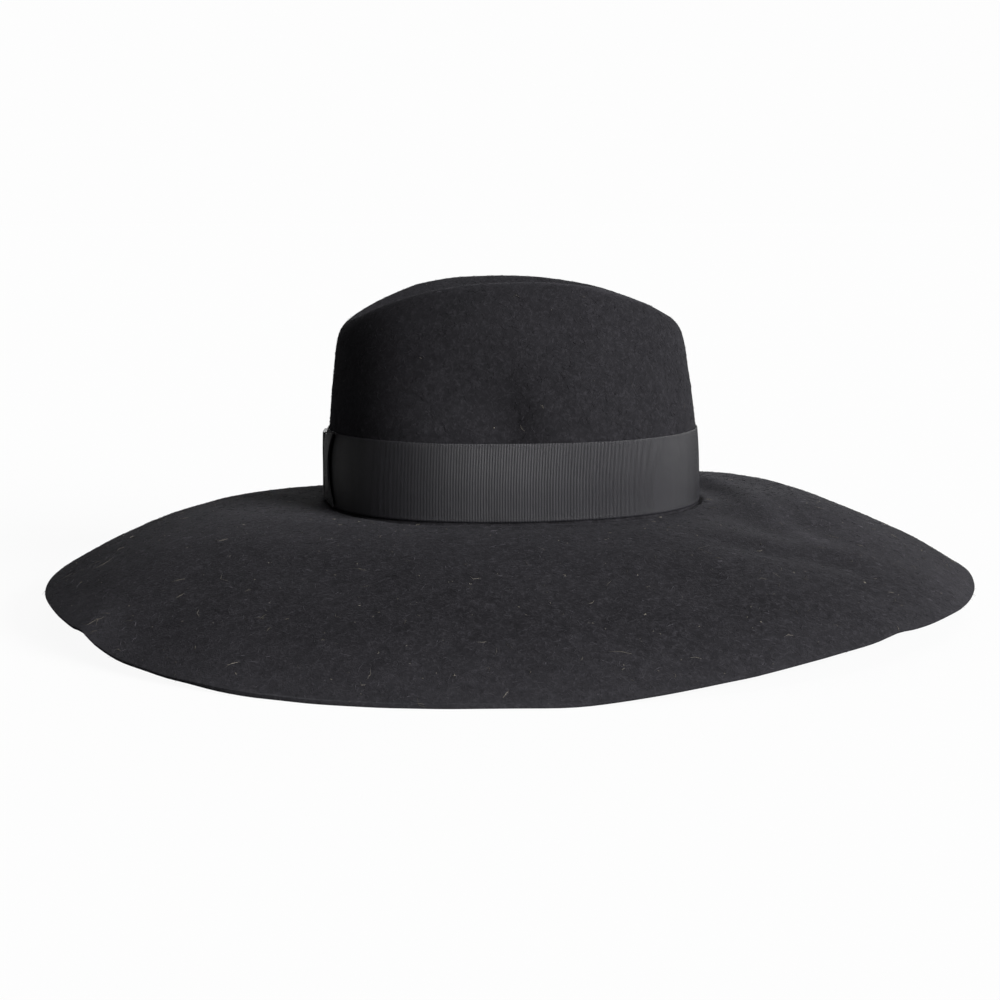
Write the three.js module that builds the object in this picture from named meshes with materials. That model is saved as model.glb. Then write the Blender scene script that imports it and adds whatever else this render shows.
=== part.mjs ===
// A wide-brim felt hat: one blocked felt body, a ribbon band round the foot of
// the crown and a flat ribbon bow at the back. Millimetres, +Z up. +X is the
// front of the hat and +Y its left side. The hat stands on z = 0 by its brim.

import * as THREE from 'three';

// Driving dimensions
const FELT = 2.0; // thickness of the felt wall
const GAP = 0.3; // clearance between pieces that touch
const RIBBON = { thickness: 0.8, width: 39.5, foot: 2.8 }; // grosgrain, and its height over the break
const BREAK = 55.4; // height at which the crown wall meets the brim
const RIDGE = { height: 177.4, fall: 21.5, power: 2.5 }; // top line of the crown and its fall to the ends
const CREASE = { depth: 19, endDepth: 2.5 }; // dent between the two ridges, in the middle and at the ends
const EGG = 0.05; // how much wider the head oval is behind than in front
// Brim: its width, how far back and how square its cut edge is, how far the
// edge would press into the floor if it stayed unflattened, and its droop
const BRIM = { width: 151, back: 1, square: 0.015, press: 4.6, power: 1.9 };

// Soft dent in each side of the crown, above the band. Its front wall is steeper
// than its back wall, its middle leans back upwards, and the band follows a share.
const SIDE_DENT = { depth: 5, height: 54, tall: 27, frontAngle: 14, backAngle: 30, lean: 0.12, bandShare: 0.2 };

// Crown wall: the oval at each level, from the break (0) to the ridge (1), how
// far back its middle lies, and how square it is
const CROWN_WALL = [
  { level: 0.00, halfLength: 101.2, halfWidth: 83.0, back: 0.6, square: 0.05 },
  { level: 0.18, halfLength: 101.0, halfWidth: 82.8, back: 0.6, square: 0.05 },
  { level: 0.36, halfLength: 100.6, halfWidth: 81.8, back: 1.0, square: 0.05 },
  { level: 0.55, halfLength: 98.9, halfWidth: 78.6, back: 1.4, square: 0.05 },
  { level: 0.75, halfLength: 96.4, halfWidth: 72.4, back: 1.9, square: 0.04 },
  { level: 0.93, halfLength: 93.2, halfWidth: 62.5, back: 2.2, square: 0.03 },
  { level: 1.00, halfLength: 87.5, halfWidth: 53.0, back: 2.2, square: 0.01 },
];

// Crown top inside the ridge: fraction of the ridge oval and of the crease depth
const CROWN_TOP = [
  { reach: 0.00, dip: 1.00 },
  { reach: 0.28, dip: 0.90 },
  { reach: 0.62, dip: 0.43 },
  { reach: 0.89, dip: 0.05 },
];

// Brim sections, as fractions of its width from the break to the cut edge
const BRIM_SECTIONS = [0.04, 0.17, 0.38, 0.6, 0.82, 0.965, 1];

// Waves of the brim's edge: direction and half angle in degrees, how square the
// wave is, and its lift at the cut edge and at the middle of the brim. 0 is the
// front of the hat and 90 its left side.
const EDGE_WAVES = [
  { name: 'front tip', angle: 0, spread: 45, power: 2, edge: 18, middle: 7 },
  { name: 'right front', angle: -50, spread: 45, power: 2, edge: 16.5, middle: 0 },
  { name: 'right back', angle: 215, spread: 35, power: 2, edge: 6.5, middle: 0 },
  { name: 'back tip', angle: 184, spread: 40, power: 3, edge: 16, middle: 5 },
  { name: 'left back', angle: 147, spread: 34, power: 2, edge: 10, middle: 2.5 },
  { name: 'left front', angle: 40, spread: 32, power: 2, edge: 8.5, middle: 8.2 },
];

// Soft folds on the brim: direction and half angle, place and half width as
// fractions of the brim's width, and height
const BRIM_FOLDS = [
  { name: 'front shoulder', angle: 12, spread: 40, at: 0.33, reach: 0.2, height: 3.5 },
  { name: 'right front hollow', angle: -28, spread: 17, at: 0.36, reach: 0.3, height: -6 },
];

// Bow of flat ribbon loops with a keeper round their middle
const BOW = { angle: 178, halfSpan: 21, thickness: 1.6, pinch: 3, endHollow: 6 };
const KEEPER = { halfSpan: 4.2, thickness: 0.8, lap: 1.4 };

// Mesh density
const COLUMNS = 60; // round the hat
const STEPS_PER_SECTION = 2; // down the felt
const BAND_ROWS = 4;
const BOW_COLUMNS = 16;
const BOW_ROWS = 4;
const KEEPER_COLUMNS = 4;

const RADIANS = Math.PI / 180;

const feltMaterial = new THREE.MeshStandardMaterial({ color: 0x26252b, roughness: 0.95, metalness: 0 });
const bandMaterial = new THREE.MeshStandardMaterial({ color: 0x2c2c31, roughness: 0.6, metalness: 0 });
const bowMaterial = new THREE.MeshStandardMaterial({ color: 0x303036, roughness: 0.6, metalness: 0 });

// Row of a table for a value of its key between its rows, straight from row to row
function between(rows, key, value) {
  const next = Math.max(1, rows.findIndex((row) => row[key] >= value));
  const low = rows[next - 1];
  const high = rows[next];
  const part = (value - low[key]) / (high[key] - low[key]);
  return mixed(low, high, part);
}

// Row of a table between two rows
function mixed(low, high, part) {
  return Object.fromEntries(Object.keys(low).map((name) => (
    [name, THREE.MathUtils.lerp(low[name], high[name], part)]
  )));
}

// Turn from one direction to another, from -180 to 180 degrees
function turnFrom(middle, angle) {
  return THREE.MathUtils.euclideanModulo(angle - middle + 180, 360) - 180;
}

// Bell curve of a turn, 1 in the middle and about 0.14 at the half angle
function bell(turn, halfAngle, power = 2) {
  return Math.exp(-2 * Math.abs(turn / halfAngle) ** power);
}

// Point on an oval that is a little wider behind than in front, and whose sides
// and ends are flatter than an ellipse's where it is square
function oval({ halfLength, halfWidth, back, square }, angle, z) {
  const along = Math.cos(angle * RADIANS);
  const across = Math.sin(angle * RADIANS);
  const x = halfLength * along * (1 + square * across * across);
  const y = halfWidth * (1 - EGG * along) * across * (1 + square * along * along);
  return new THREE.Vector3(x - back, y, z);
}

function ridgeHeight(x) {
  const end = CROWN_WALL.at(-1).halfLength;
  return RIDGE.height - RIDGE.fall * Math.abs(x / end) ** RIDGE.power;
}

// Crown wall at a level between the break and the ridge, with a share of the dent
function wallPoint(angle, level, dent) {
  const ridge = CROWN_WALL.at(-1).halfLength * Math.cos(angle * RADIANS);
  const z = THREE.MathUtils.lerp(BREAK, ridgeHeight(ridge), level);
  const point = oval(between(CROWN_WALL, 'level', level), angle, z);
  point.y -= Math.sign(point.y) * dent * sideDent(angle, z - BREAK);
  return point;
}

// Level of the crown wall at a height over the break
function levelAt(angle, height) {
  const ridge = CROWN_WALL.at(-1).halfLength * Math.cos(angle * RADIANS);
  return height / (ridgeHeight(ridge) - BREAK);
}

// Depth of the soft dent that each side has above the band
function sideDent(angle, height) {
  const above = height - SIDE_DENT.height;
  const lean = SIDE_DENT.lean * above;
  const toFront = [turnFrom(270 - lean, angle), -turnFrom(90 + lean, angle)];
  const depths = toFront.map((turn) => bell(turn, turn > 0 ? SIDE_DENT.frontAngle : SIDE_DENT.backAngle));
  return SIDE_DENT.depth * Math.exp(-((above / SIDE_DENT.tall) ** 2)) * (depths[0] + depths[1]);
}

// Crown top inside the ridge
function topPoint(angle, { reach, dip }) {
  const rim = CROWN_WALL.at(-1);
  const level = { ...rim, halfLength: rim.halfLength * reach, halfWidth: rim.halfWidth * reach };
  const point = oval(level, angle, 0);
  const ridge = rim.halfLength * Math.cos(angle * RADIANS);
  const depth = THREE.MathUtils.lerp(CREASE.depth, CREASE.endDepth, (reach * ridge / rim.halfLength) ** 2);
  const overCrease = ridgeHeight(reach * ridge) - depth;
  point.z = THREE.MathUtils.lerp(ridgeHeight(ridge), overCrease, dip);
  return point;
}

// Brim between the break (0) and the cut edge (1), drooping and waved
function brimPoint(angle, out) {
  const foot = CROWN_WALL[0];
  const edge = {
    halfLength: foot.halfLength + BRIM.width,
    halfWidth: foot.halfWidth + BRIM.width,
    back: foot.back + BRIM.back,
    square: BRIM.square,
  };
  const drop = BREAK - FELT + BRIM.press;
  let z = BREAK - drop * out ** BRIM.power;
  for (const wave of EDGE_WAVES) {
    const lift = wave.edge * out ** 2 + wave.middle * 4 * out * (1 - out);
    z += lift * bell(turnFrom(wave.angle, angle), wave.spread, wave.power);
  }
  for (const fold of BRIM_FOLDS) {
    const across = (out - fold.at) / fold.reach;
    z += fold.height * bell(turnFrom(fold.angle, angle), fold.spread) * Math.exp(-2 * across * across);
  }
  return oval(mixed(foot, { ...foot, ...edge }, out), angle, z);
}

// Profile of the felt in one direction, from the middle of the crown to the edge
function feltProfile(angle) {
  const points = CROWN_TOP.map((row) => topPoint(angle, row));
  for (const row of CROWN_WALL.toReversed()) points.push(wallPoint(angle, row.level, 1));
  for (const out of BRIM_SECTIONS) points.push(brimPoint(angle, out));
  return new THREE.CatmullRomCurve3(points, false, 'centripetal');
}

// Outer surface of the felt, flattened where it meets the floor
function feltPoint(angle, along) {
  const point = feltProfile(angle).getPoint(THREE.MathUtils.clamp(along, 0, 1));
  point.z = Math.max(point.z, FELT);
  return point;
}

// Outward normal of a surface given as a function of a direction and a way along
function normalOf(surface, angle, along) {
  const turn = 0.5;
  const step = 0.002;
  const round = surface(angle + turn, along).sub(surface(angle - turn, along));
  const down = surface(angle, Math.min(along + step, 1)).sub(surface(angle, Math.max(along - step, 0)));
  return down.cross(round).normalize();
}

// Closed solid from a grid of outer points and a grid of inner points. Each grid
// is a list of rows. A closed grid joins its last column to its first one, and a
// first row of one point is a pole.
function shell(outer, inner, closed) {
  const vertices = [];
  const triangles = [];
  const add = (point) => vertices.push(point.x, point.y, point.z) / 3 - 1;
  const place = (rows) => rows.map((row) => row.map(add));
  const quad = (a, b, c, d) => triangles.push(a, b, c, a, c, d);
  const skin = (rows, outwards) => {
    for (let i = 0; i + 1 < rows.length; i += 1) {
      const upper = rows[i];
      const lower = rows[i + 1];
      const spans = closed ? lower.length : lower.length - 1;
      for (let j = 0; j < spans; j += 1) {
        const k = (j + 1) % lower.length;
        if (upper.length === 1) {
          triangles.push(...(outwards ? [upper[0], lower[j], lower[k]] : [upper[0], lower[k], lower[j]]));
        } else if (outwards) {
          quad(upper[j], lower[j], lower[k], upper[k]);
        } else {
          quad(upper[j], upper[k], lower[k], lower[j]);
        }
      }
    }
  };
  const rim = (outerRow, innerRow, last) => {
    const spans = closed ? outerRow.length : outerRow.length - 1;
    for (let j = 0; j < spans; j += 1) {
      const k = (j + 1) % outerRow.length;
      if (last) quad(outerRow[j], innerRow[j], innerRow[k], outerRow[k]);
      else quad(outerRow[j], outerRow[k], innerRow[k], innerRow[j]);
    }
  };
  const outside = place(outer);
  const inside = place(inner);
  skin(outside, true);
  skin(inside, false);
  rim(outside.at(-1), inside.at(-1), true);
  if (outside[0].length > 1) rim(outside[0], inside[0], false);
  if (!closed) {
    for (let i = 0; i + 1 < outside.length; i += 1) {
      quad(outside[i][0], inside[i][0], inside[i + 1][0], outside[i + 1][0]);
      quad(outside[i].at(-1), outside[i + 1].at(-1), inside[i + 1].at(-1), inside[i].at(-1));
    }
  }
  const geometry = new THREE.BufferGeometry();
  geometry.setAttribute('position', new THREE.Float32BufferAttribute(vertices, 3));
  geometry.setIndex(triangles);
  geometry.computeVertexNormals();
  return geometry;
}

function feltGeometry() {
  const sections = CROWN_TOP.length + CROWN_WALL.length + BRIM_SECTIONS.length - 1;
  const steps = sections * STEPS_PER_SECTION;
  const peak = feltPoint(0, 0);
  const outer = [[peak]];
  const inner = [[peak.clone().setZ(peak.z - FELT)]];
  for (let i = 1; i <= steps; i += 1) {
    const outerRow = [];
    const innerRow = [];
    for (let j = 0; j < COLUMNS; j += 1) {
      const angle = 360 * j / COLUMNS;
      const point = feltPoint(angle, i / steps);
      const under = point.clone().addScaledVector(normalOf(feltPoint, angle, i / steps), -FELT);
      under.z = Math.max(under.z, 0);
      outerRow.push(point);
      innerRow.push(under);
    }
    outer.push(outerRow);
    inner.push(innerRow);
  }
  return shell(outer, inner, true);
}

// Point at a clearance off the crown wall, at a height over the break
function ribbonPoint(angle, height, clearance) {
  const surface = (direction, along) => wallPoint(direction, 1 - along, SIDE_DENT.bandShare);
  const along = 1 - levelAt(angle, height);
  return surface(angle, along).addScaledVector(normalOf(surface, angle, along), clearance);
}

// Rows of points over the ribbon: across runs from 1 at the right hand end of a
// strip to -1, and up from 1 at its top to -1
function stripRows(columns, rows, place) {
  return Array.from({ length: rows + 1 }, (_, i) => (
    Array.from({ length: columns + 1 }, (__, j) => place(1 - 2 * j / columns, 1 - 2 * i / rows))
  ));
}

const RIBBON_MIDDLE = RIBBON.foot + RIBBON.width / 2;
const BAND_FACE = GAP + RIBBON.thickness; // how far the band stands out from the felt
const BOW_BACK = BAND_FACE + GAP;
const BOW_FACE = BOW_BACK + BOW.thickness;

// Band: the ribbon as a ring round the foot of the crown
function bandGeometry() {
  const ring = (clearance) => Array.from({ length: BAND_ROWS + 1 }, (_, i) => (
    Array.from({ length: COLUMNS }, (__, j) => {
      const height = RIBBON.foot + RIBBON.width * (1 - i / BAND_ROWS);
      return ribbonPoint(360 * j / COLUMNS, height, clearance);
    })
  ));
  return shell(ring(BAND_FACE), ring(GAP), true);
}

// Bow loops: a flat folded ribbon, pinched at its middle, with hollow ends
function bowGeometry() {
  const rows = (clearance) => stripRows(BOW_COLUMNS, BOW_ROWS, (across, up) => {
    const halfSpan = BOW.halfSpan - BOW.endHollow * (1 - up * up);
    const halfHeight = RIBBON.width / 2 - BOW.pinch * (1 - Math.abs(across) ** 1.5);
    return ribbonPoint(BOW.angle - across * halfSpan, RIBBON_MIDDLE + up * halfHeight, clearance);
  });
  return shell(rows(BOW_FACE), rows(BOW_BACK), false);
}

// Keeper: a narrow strip over the middle of the loops, lapped over their edges
function keeperGeometry() {
  const lapHeight = RIBBON.width / 2 - BOW.pinch + GAP;
  const lapEnd = BOW_FACE - KEEPER.lap;
  const inside = [
    { height: lapHeight, clearance: lapEnd },
    { height: lapHeight, clearance: BOW_FACE + GAP },
    { height: 0, clearance: BOW_FACE + GAP },
    { height: -lapHeight, clearance: BOW_FACE + GAP },
    { height: -lapHeight, clearance: lapEnd },
  ];
  const outside = inside.map(({ height, clearance }) => ({
    height: height + Math.sign(height) * KEEPER.thickness,
    clearance: clearance === lapEnd ? lapEnd : clearance + KEEPER.thickness,
  }));
  const rows = (profile) => profile.map(({ height, clearance }) => (
    Array.from({ length: KEEPER_COLUMNS + 1 }, (_, j) => {
      const angle = BOW.angle + KEEPER.halfSpan * (2 * j / KEEPER_COLUMNS - 1);
      return ribbonPoint(angle, RIBBON_MIDDLE + height, clearance);
    })
  ));
  return shell(rows(outside), rows(inside), false);
}

function piece(name, geometry, material) {
  const mesh = new THREE.Mesh(geometry, material);
  mesh.name = name;
  return mesh;
}

const hat = new THREE.Group();
hat.add(piece('felt_body', feltGeometry(), feltMaterial));
hat.add(piece('hat_band', bandGeometry(), bandMaterial));
hat.add(piece('bow_loops', bowGeometry(), bowMaterial));
hat.add(piece('bow_keeper', keeperGeometry(), bowMaterial));

// The origin is on the floor under the middle of the hat's box
const box = new THREE.Box3().setFromObject(hat);
hat.position.set(-(box.min.x + box.max.x) / 2, -(box.min.y + box.max.y) / 2, -box.min.z);

export default hat;
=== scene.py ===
"""Finish of a wide-brim felt hat: blocked felt with its nap, a grosgrain band and a flat ribbon bow.

Metres, +Z up. +X is the front of the hat and +Y its left side.
"""

import math

import bmesh
import bpy
import numpy as np
from bpy.props import FloatProperty, FloatVectorProperty, IntProperty, PointerProperty
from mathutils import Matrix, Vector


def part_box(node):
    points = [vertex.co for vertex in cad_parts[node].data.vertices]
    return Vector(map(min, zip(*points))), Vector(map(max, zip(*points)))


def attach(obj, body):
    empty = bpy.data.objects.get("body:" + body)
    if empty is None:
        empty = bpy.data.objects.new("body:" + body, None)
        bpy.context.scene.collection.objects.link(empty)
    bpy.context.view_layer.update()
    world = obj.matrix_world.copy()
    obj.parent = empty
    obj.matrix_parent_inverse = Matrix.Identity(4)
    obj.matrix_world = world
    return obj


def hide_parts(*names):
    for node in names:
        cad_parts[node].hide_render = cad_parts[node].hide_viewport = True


bl_info = {
    "name": "Wide-brim felt hat",
    "version": (1, 0, 0),
    "blender": (4, 5, 0),
    "location": "3D View > Sidebar > Felt hat",
    "description": "Felt, nap, grosgrain band and ribbon bow of a wide-brim hat",
    "category": "Object",
}

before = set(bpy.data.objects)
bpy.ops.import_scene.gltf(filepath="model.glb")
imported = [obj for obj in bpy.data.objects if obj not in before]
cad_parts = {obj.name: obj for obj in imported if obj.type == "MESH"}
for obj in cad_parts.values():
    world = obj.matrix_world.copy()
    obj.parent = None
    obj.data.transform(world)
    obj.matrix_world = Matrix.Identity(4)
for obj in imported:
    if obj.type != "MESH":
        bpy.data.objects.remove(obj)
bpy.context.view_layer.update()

MM = 0.001
WELD = 0.01 * MM  # distance within which corners of a solid are one
UP = np.array((0.0, 0.0, 1.0))
FOOT_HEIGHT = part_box("hat_band")[0].z  # of the crown's foot, where the ribbon starts


# Sizes and colours that a user would change


class FeltSettings(bpy.types.PropertyGroup):
    """Blocked felt of the crown and the brim"""

    edge_rounding: FloatProperty(
        name="Edge rounding", description="Radius left on the corners of the cut edge",
        default=0.5 * MM, min=0.1 * MM, max=0.9 * MM, precision=5, unit="LENGTH",
    )
    unevenness: FloatProperty(
        name="Unevenness", description="Height of the soft hollows that blocking leaves in the felt",
        default=0.7 * MM, min=0.0, max=3 * MM, precision=5, unit="LENGTH",
    )
    unevenness_size: FloatProperty(
        name="Unevenness size", description="Distance between those hollows",
        default=38 * MM, min=5 * MM, precision=4, unit="LENGTH",
    )
    colour: FloatVectorProperty(
        name="Colour", description="Colour of the dyed wool",
        default=(0.0068, 0.0066, 0.0075), min=0.0, max=1.0, subtype="COLOR",
    )
    fibre_colour: FloatVectorProperty(
        name="Fibre colour", description="Colour of the loose fibres on the surface",
        default=(0.022, 0.021, 0.024), min=0.0, max=1.0, subtype="COLOR",
    )


class NapSettings(bpy.types.PropertyGroup):
    """Loose fibres that stand out of the felt, and the lint on it"""

    fibres: IntProperty(
        name="Fibres", description="Number of fibres on the brim. The crown has half as many",
        default=13500, min=0, max=14000,
    )
    length: FloatProperty(
        name="Length", description="Length of a middling fibre",
        default=2.6 * MM, min=0.5 * MM, precision=5, unit="LENGTH",
    )
    thickness: FloatProperty(
        name="Thickness", description="Thickness of a fibre",
        default=0.13 * MM, min=0.01 * MM, precision=5, unit="LENGTH",
    )
    lint: IntProperty(
        name="Lint", description="Number of pale hairs and specks lying on the felt",
        default=900, min=0, max=5000,
    )
    lint_colour: FloatVectorProperty(
        name="Lint colour", description="Colour of those hairs and specks",
        default=(0.085, 0.078, 0.066), min=0.0, max=1.0, subtype="COLOR",
    )


class RibbonSettings(bpy.types.PropertyGroup):
    """Grosgrain ribbon of the band and the bow"""

    rib_pitch: FloatProperty(
        name="Rib pitch", description="Distance from one rib of the ribbon to the next",
        default=0.80 * MM, min=0.3 * MM, precision=5, unit="LENGTH",
    )
    rib_height: FloatProperty(
        name="Rib height", description="Height of a rib over the grooves beside it",
        default=0.06 * MM, min=0.0, precision=5, unit="LENGTH",
    )
    thickness: FloatProperty(
        name="Thickness", description="Thickness of the ribbon",
        default=0.55 * MM, min=0.1 * MM, precision=5, unit="LENGTH",
    )
    warp_pitch: FloatProperty(
        name="Warp pitch", description="Distance between the fine threads that cross the ribs",
        default=0.24 * MM, min=0.05 * MM, precision=5, unit="LENGTH",
    )
    colour: FloatVectorProperty(
        name="Colour", description="Colour of the ribbon's thread",
        default=(0.0082, 0.0080, 0.0094), min=0.0, max=1.0, subtype="COLOR",
    )


class StageSettings(bpy.types.PropertyGroup):
    """Floor, light and camera"""

    camera_distance: FloatProperty(
        name="Camera distance",
        description="Distance of the camera from the hat's middle, along the floor",
        default=1.050, min=0.5, unit="LENGTH",
    )
    camera_height: FloatProperty(
        name="Camera height", description="Height of the camera over the floor",
        default=0.2175, min=0.01, unit="LENGTH",
    )
    key_strength: FloatProperty(
        name="Key light", description="Strength of the key light in watts per square metre",
        default=12.6, min=0.0,
    )
    fill_strength: FloatProperty(
        name="Top light", description="Strength of the light from above in watts per square metre",
        default=1.2, min=0.0,
    )
    left_strength: FloatProperty(
        name="Left light",
        description="Strength of the weak light from the camera's left in watts per square metre",
        default=0.6, min=0.0,
    )
    back_strength: FloatProperty(
        name="Back light",
        description="Strength of the weak light from behind the hat in watts per square metre",
        default=2.0, min=0.0,
    )
    floor_glow: FloatProperty(
        name="Floor glow", description="Light that the lit-through floor gives off by itself",
        default=0.965, min=0.0, max=1.0,
    )
    surround: FloatProperty(
        name="Surround", description="Brightness of the dim studio round the hat",
        default=0.02, min=0.0,
    )


SETTINGS = {
    "hat_felt": FeltSettings,
    "hat_nap": NapSettings,
    "hat_ribbon": RibbonSettings,
    "hat_stage": StageSettings,
}


# Materials


class Socket:
    """An output socket of a shader. Arithmetic on it adds Math nodes."""

    def __init__(self, shader, output):
        self.shader = shader
        self.output = output

    def __add__(self, other):
        return self.shader.math("ADD", self, other)

    def __sub__(self, other):
        return self.shader.math("SUBTRACT", self, other)

    def __rsub__(self, other):
        return self.shader.math("SUBTRACT", other, self)

    def __mul__(self, other):
        return self.shader.math("MULTIPLY", self, other)

    __radd__ = __add__
    __rmul__ = __mul__


class Shader:
    """Node tree of a material or of the world. node() adds a node and returns one of its outputs."""

    def __init__(self, owner):
        owner.use_nodes = True
        self.owner = owner
        self.tree = owner.node_tree
        self.tree.nodes.clear()

    def node(self, kind, settings=None, inputs=None, output=0):
        made = self.tree.nodes.new(kind)
        for name, value in (settings or {}).items():
            setattr(made, name, value)
        for name, value in (inputs or {}).items():
            if isinstance(value, Socket):
                self.tree.links.new(value.output, made.inputs[name])
            else:
                made.inputs[name].default_value = value
        return Socket(self, made.outputs[output])

    def math(self, operation, *values):
        return self.node("ShaderNodeMath", {"operation": operation}, dict(enumerate(values)))

    def noise(self, place, size, detail=2.0, distortion=0.0):
        """Noise from 0 to 1, with features of a size in metres."""
        return self.node(
            "ShaderNodeTexNoise", {},
            {"Vector": place, "Scale": 1 / size, "Detail": detail, "Distortion": distortion},
        )

    def attribute(self, name):
        """A number that the mesh gives for each of its corners."""
        return self.node("ShaderNodeAttribute", {"attribute_name": name}, output="Fac")

    def object_place(self):
        """A point's place in its object, which doesn't depend on the view."""
        return self.node("ShaderNodeTexCoord", output="Object")

    def threads(self, place, size, width):
        """Curly threads: the narrow belts where a noise passes through its middle value."""
        level = self.noise(place, size, detail=1, distortion=0.8)
        return self.ramp(self.math("ABSOLUTE", level - 0.5), width, 0.25 * width)

    def ramp(self, factor, low, high):
        """A number from 0 at low to 1 at high."""
        return self.node(
            "ShaderNodeMapRange", {"interpolation_type": "SMOOTHSTEP"},
            {"Value": factor, "From Min": low, "From Max": high},
        )

    def mix(self, factor, first, second):
        """A colour between two colours."""
        return self.node(
            "ShaderNodeMix", {"data_type": "RGBA"},
            {"Factor": factor, 6: first, 7: second}, output=2,
        )

    def scaled(self, colour, factor):
        """A colour times a number."""
        return self.node(
            "ShaderNodeVectorMath", {"operation": "SCALE"}, {0: colour, "Scale": factor},
        )

    def finish(self, height, height_distance, **values):
        """Ends the tree in a Principled shader with a bump, and returns the material."""
        normal = self.node(
            "ShaderNodeBump", {},
            {"Strength": 1.0, "Distance": height_distance, "Height": height},
        )
        inputs = {name.replace("_", " "): value for name, value in values.items()}
        return self.end(self.node("ShaderNodeBsdfPrincipled", {}, {**inputs, "Normal": normal}))

    def end(self, surface, kind="ShaderNodeOutputMaterial"):
        """Ends the tree in a surface, and returns the material or the world."""
        output = self.tree.nodes.new(kind)
        self.tree.links.new(surface.output, output.inputs["Surface"])
        return self.owner


def shader_of(name):
    return Shader(bpy.data.materials.new(name))


# Sizes of the felt's patches, clouds, tufts, finest grain and matted threads, and its relief's height
FELT = {
    "patches": 45 * MM, "clouds": 9 * MM, "tufts": 3.2 * MM, "fine": 0.7 * MM,
    "wide_threads": 3.4 * MM, "narrow_threads": 2.1 * MM, "relief": 0.18 * MM,
}
CROWN_FINER = {"share": 0.4, "over": 40 * MM}  # how much the grain weakens from the crown's foot up
HIGHLIGHT_AND_WEAR_TONE = 0.9  # what a painted highlight, partly worn nap, adds to the felt's tone
PAINTED_SHEEN_TONE = 0.75  # painted sheen: what the brim's edge adds to it
LOOSE_SHARE = 0.30  # how far the loose threads take on the colour of the fibres


def felt_material(felt):
    """Black wool felt: matted fibres in mottled tufts, with a soft sheen, painted highlights and a painted
    sheen on the brim's edge.
    """
    shader = shader_of("wool_felt")
    place = shader.object_place()
    patches = shader.noise(place, FELT["patches"])
    clouds = shader.noise(place, FELT["clouds"], distortion=0.5)
    tufts = shader.noise(place, FELT["tufts"], detail=3, distortion=1.2)
    fine = shader.noise(place, FELT["fine"])
    height = shader.node("ShaderNodeSeparateXYZ", {}, {"Vector": place}, output="Z")
    finer = shader.ramp(height, FOOT_HEIGHT, FOOT_HEIGHT + CROWN_FINER["over"])
    grain = 1 - CROWN_FINER["share"] * finer
    # The worn attribute carries painted highlights, partly worn nap
    worn = shader.attribute("worn") * (0.3 + tufts + clouds)
    mottle = 0.65 * clouds + 0.95 * tufts + 0.15 * fine - 0.88
    tone = 0.98 - 0.16 * grain + 0.30 * patches + grain * mottle
    # Painted highlights, partly worn nap, and a painted sheen towards the brim's edge lighten the tone
    tone = tone + HIGHLIGHT_AND_WEAR_TONE * worn + PAINTED_SHEEN_TONE * shader.attribute("pale")
    colour = shader.scaled(felt.colour, tone)
    threads = (
        shader.threads(place, FELT["wide_threads"], 0.06)
        + shader.threads(place, FELT["narrow_threads"], 0.07)
    )
    loose = threads * grain * shader.ramp(tufts, 0.35, 0.65) * LOOSE_SHARE
    colour = shader.mix(loose, colour, (*felt.fibre_colour, 1.0))
    relief = grain * (0.5 * tufts + 0.3 * threads + 0.2 * fine)
    return shader.finish(
        relief, FELT["relief"],
        Base_Color=colour, Roughness=0.94, Specular_IOR_Level=0.02,
        Sheen_Weight=0.015, Sheen_Roughness=0.5, Sheen_Tint=(0.90, 0.90, 1.0, 1.0),
    )


FIBRE_SCALES = {"size": 0.3 * MM, "height": 0.01 * MM}  # fine scales along a fibre


def fibre_material(name, colour):
    """Single fibres, each as light as its own tone says."""
    shader = shader_of(name)
    scales = shader.noise(shader.object_place(), FIBRE_SCALES["size"])
    return shader.finish(
        scales, FIBRE_SCALES["height"],
        Base_Color=shader.scaled(colour, shader.attribute("tone") * (0.8 + 0.4 * scales)),
        Roughness=0.75, Specular_IOR_Level=0.05,
    )


RIB_ARC = 0.38  # squared sine of the slope at the foot of a rib
RIB_SHADE_TONE = {"crest": 1.62, "fall": 1.58, "start": 0.30, "end": 0.80}  # painted highlight and shade: tone from a rib's lit crest to its shaded groove
RIBBON_PATCHES = 22 * MM
RIBBON_STREAKS = 0.5 * MM


def ribbon_material(name, ribbon, ribs, width):
    """Grosgrain: a light warp over round ribs, counted along the ribbon's own UV map, with painted shade
    in its grooves.
    """
    shader = shader_of(name)
    along = shader.node("ShaderNodeUVMap", {"uv_map": "ribbon"})
    parts = shader.node("ShaderNodeSeparateXYZ", {}, {"Vector": along}, output="X")
    across = Socket(shader, parts.output.node.outputs["Y"])
    place = shader.object_place()
    phase = parts * ribs
    number = shader.math("FLOOR", phase)
    each = shader.node(
        "ShaderNodeTexWhiteNoise", {"noise_dimensions": "1D"}, {"W": number}, output="Value",
    )
    aside = shader.math("FRACT", phase) * 2 - 1
    crest = shader.math("SQRT", 1 - RIB_ARC * aside * aside)
    threads = shader.math("SINE", across * (width / ribbon.warp_pitch * math.tau) + number * math.pi)
    patches = shader.noise(place, RIBBON_PATCHES, detail=3)
    streaks = shader.noise(place, RIBBON_STREAKS)
    groove = shader.ramp(shader.math("ABSOLUTE", aside), RIB_SHADE_TONE["start"], RIB_SHADE_TONE["end"])
    # Painted shade darkens the grooves and a painted highlight lightens the crests
    rib = RIB_SHADE_TONE["crest"] - RIB_SHADE_TONE["fall"] * groove
    tone = rib * (0.78 + 0.22 * each + 0.24 * patches + 0.14 * streaks)
    radius = ribbon.rib_pitch / 2 / math.sqrt(RIB_ARC)
    return shader.finish(
        radius / MM * crest + 0.008 * threads + 0.02 * streaks, MM,
        Base_Color=shader.scaled(ribbon.colour, tone),
        Roughness=0.30 + 0.10 * patches + 0.12 * groove, Specular_IOR_Level=0.14,
    )


# Modelling


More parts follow.
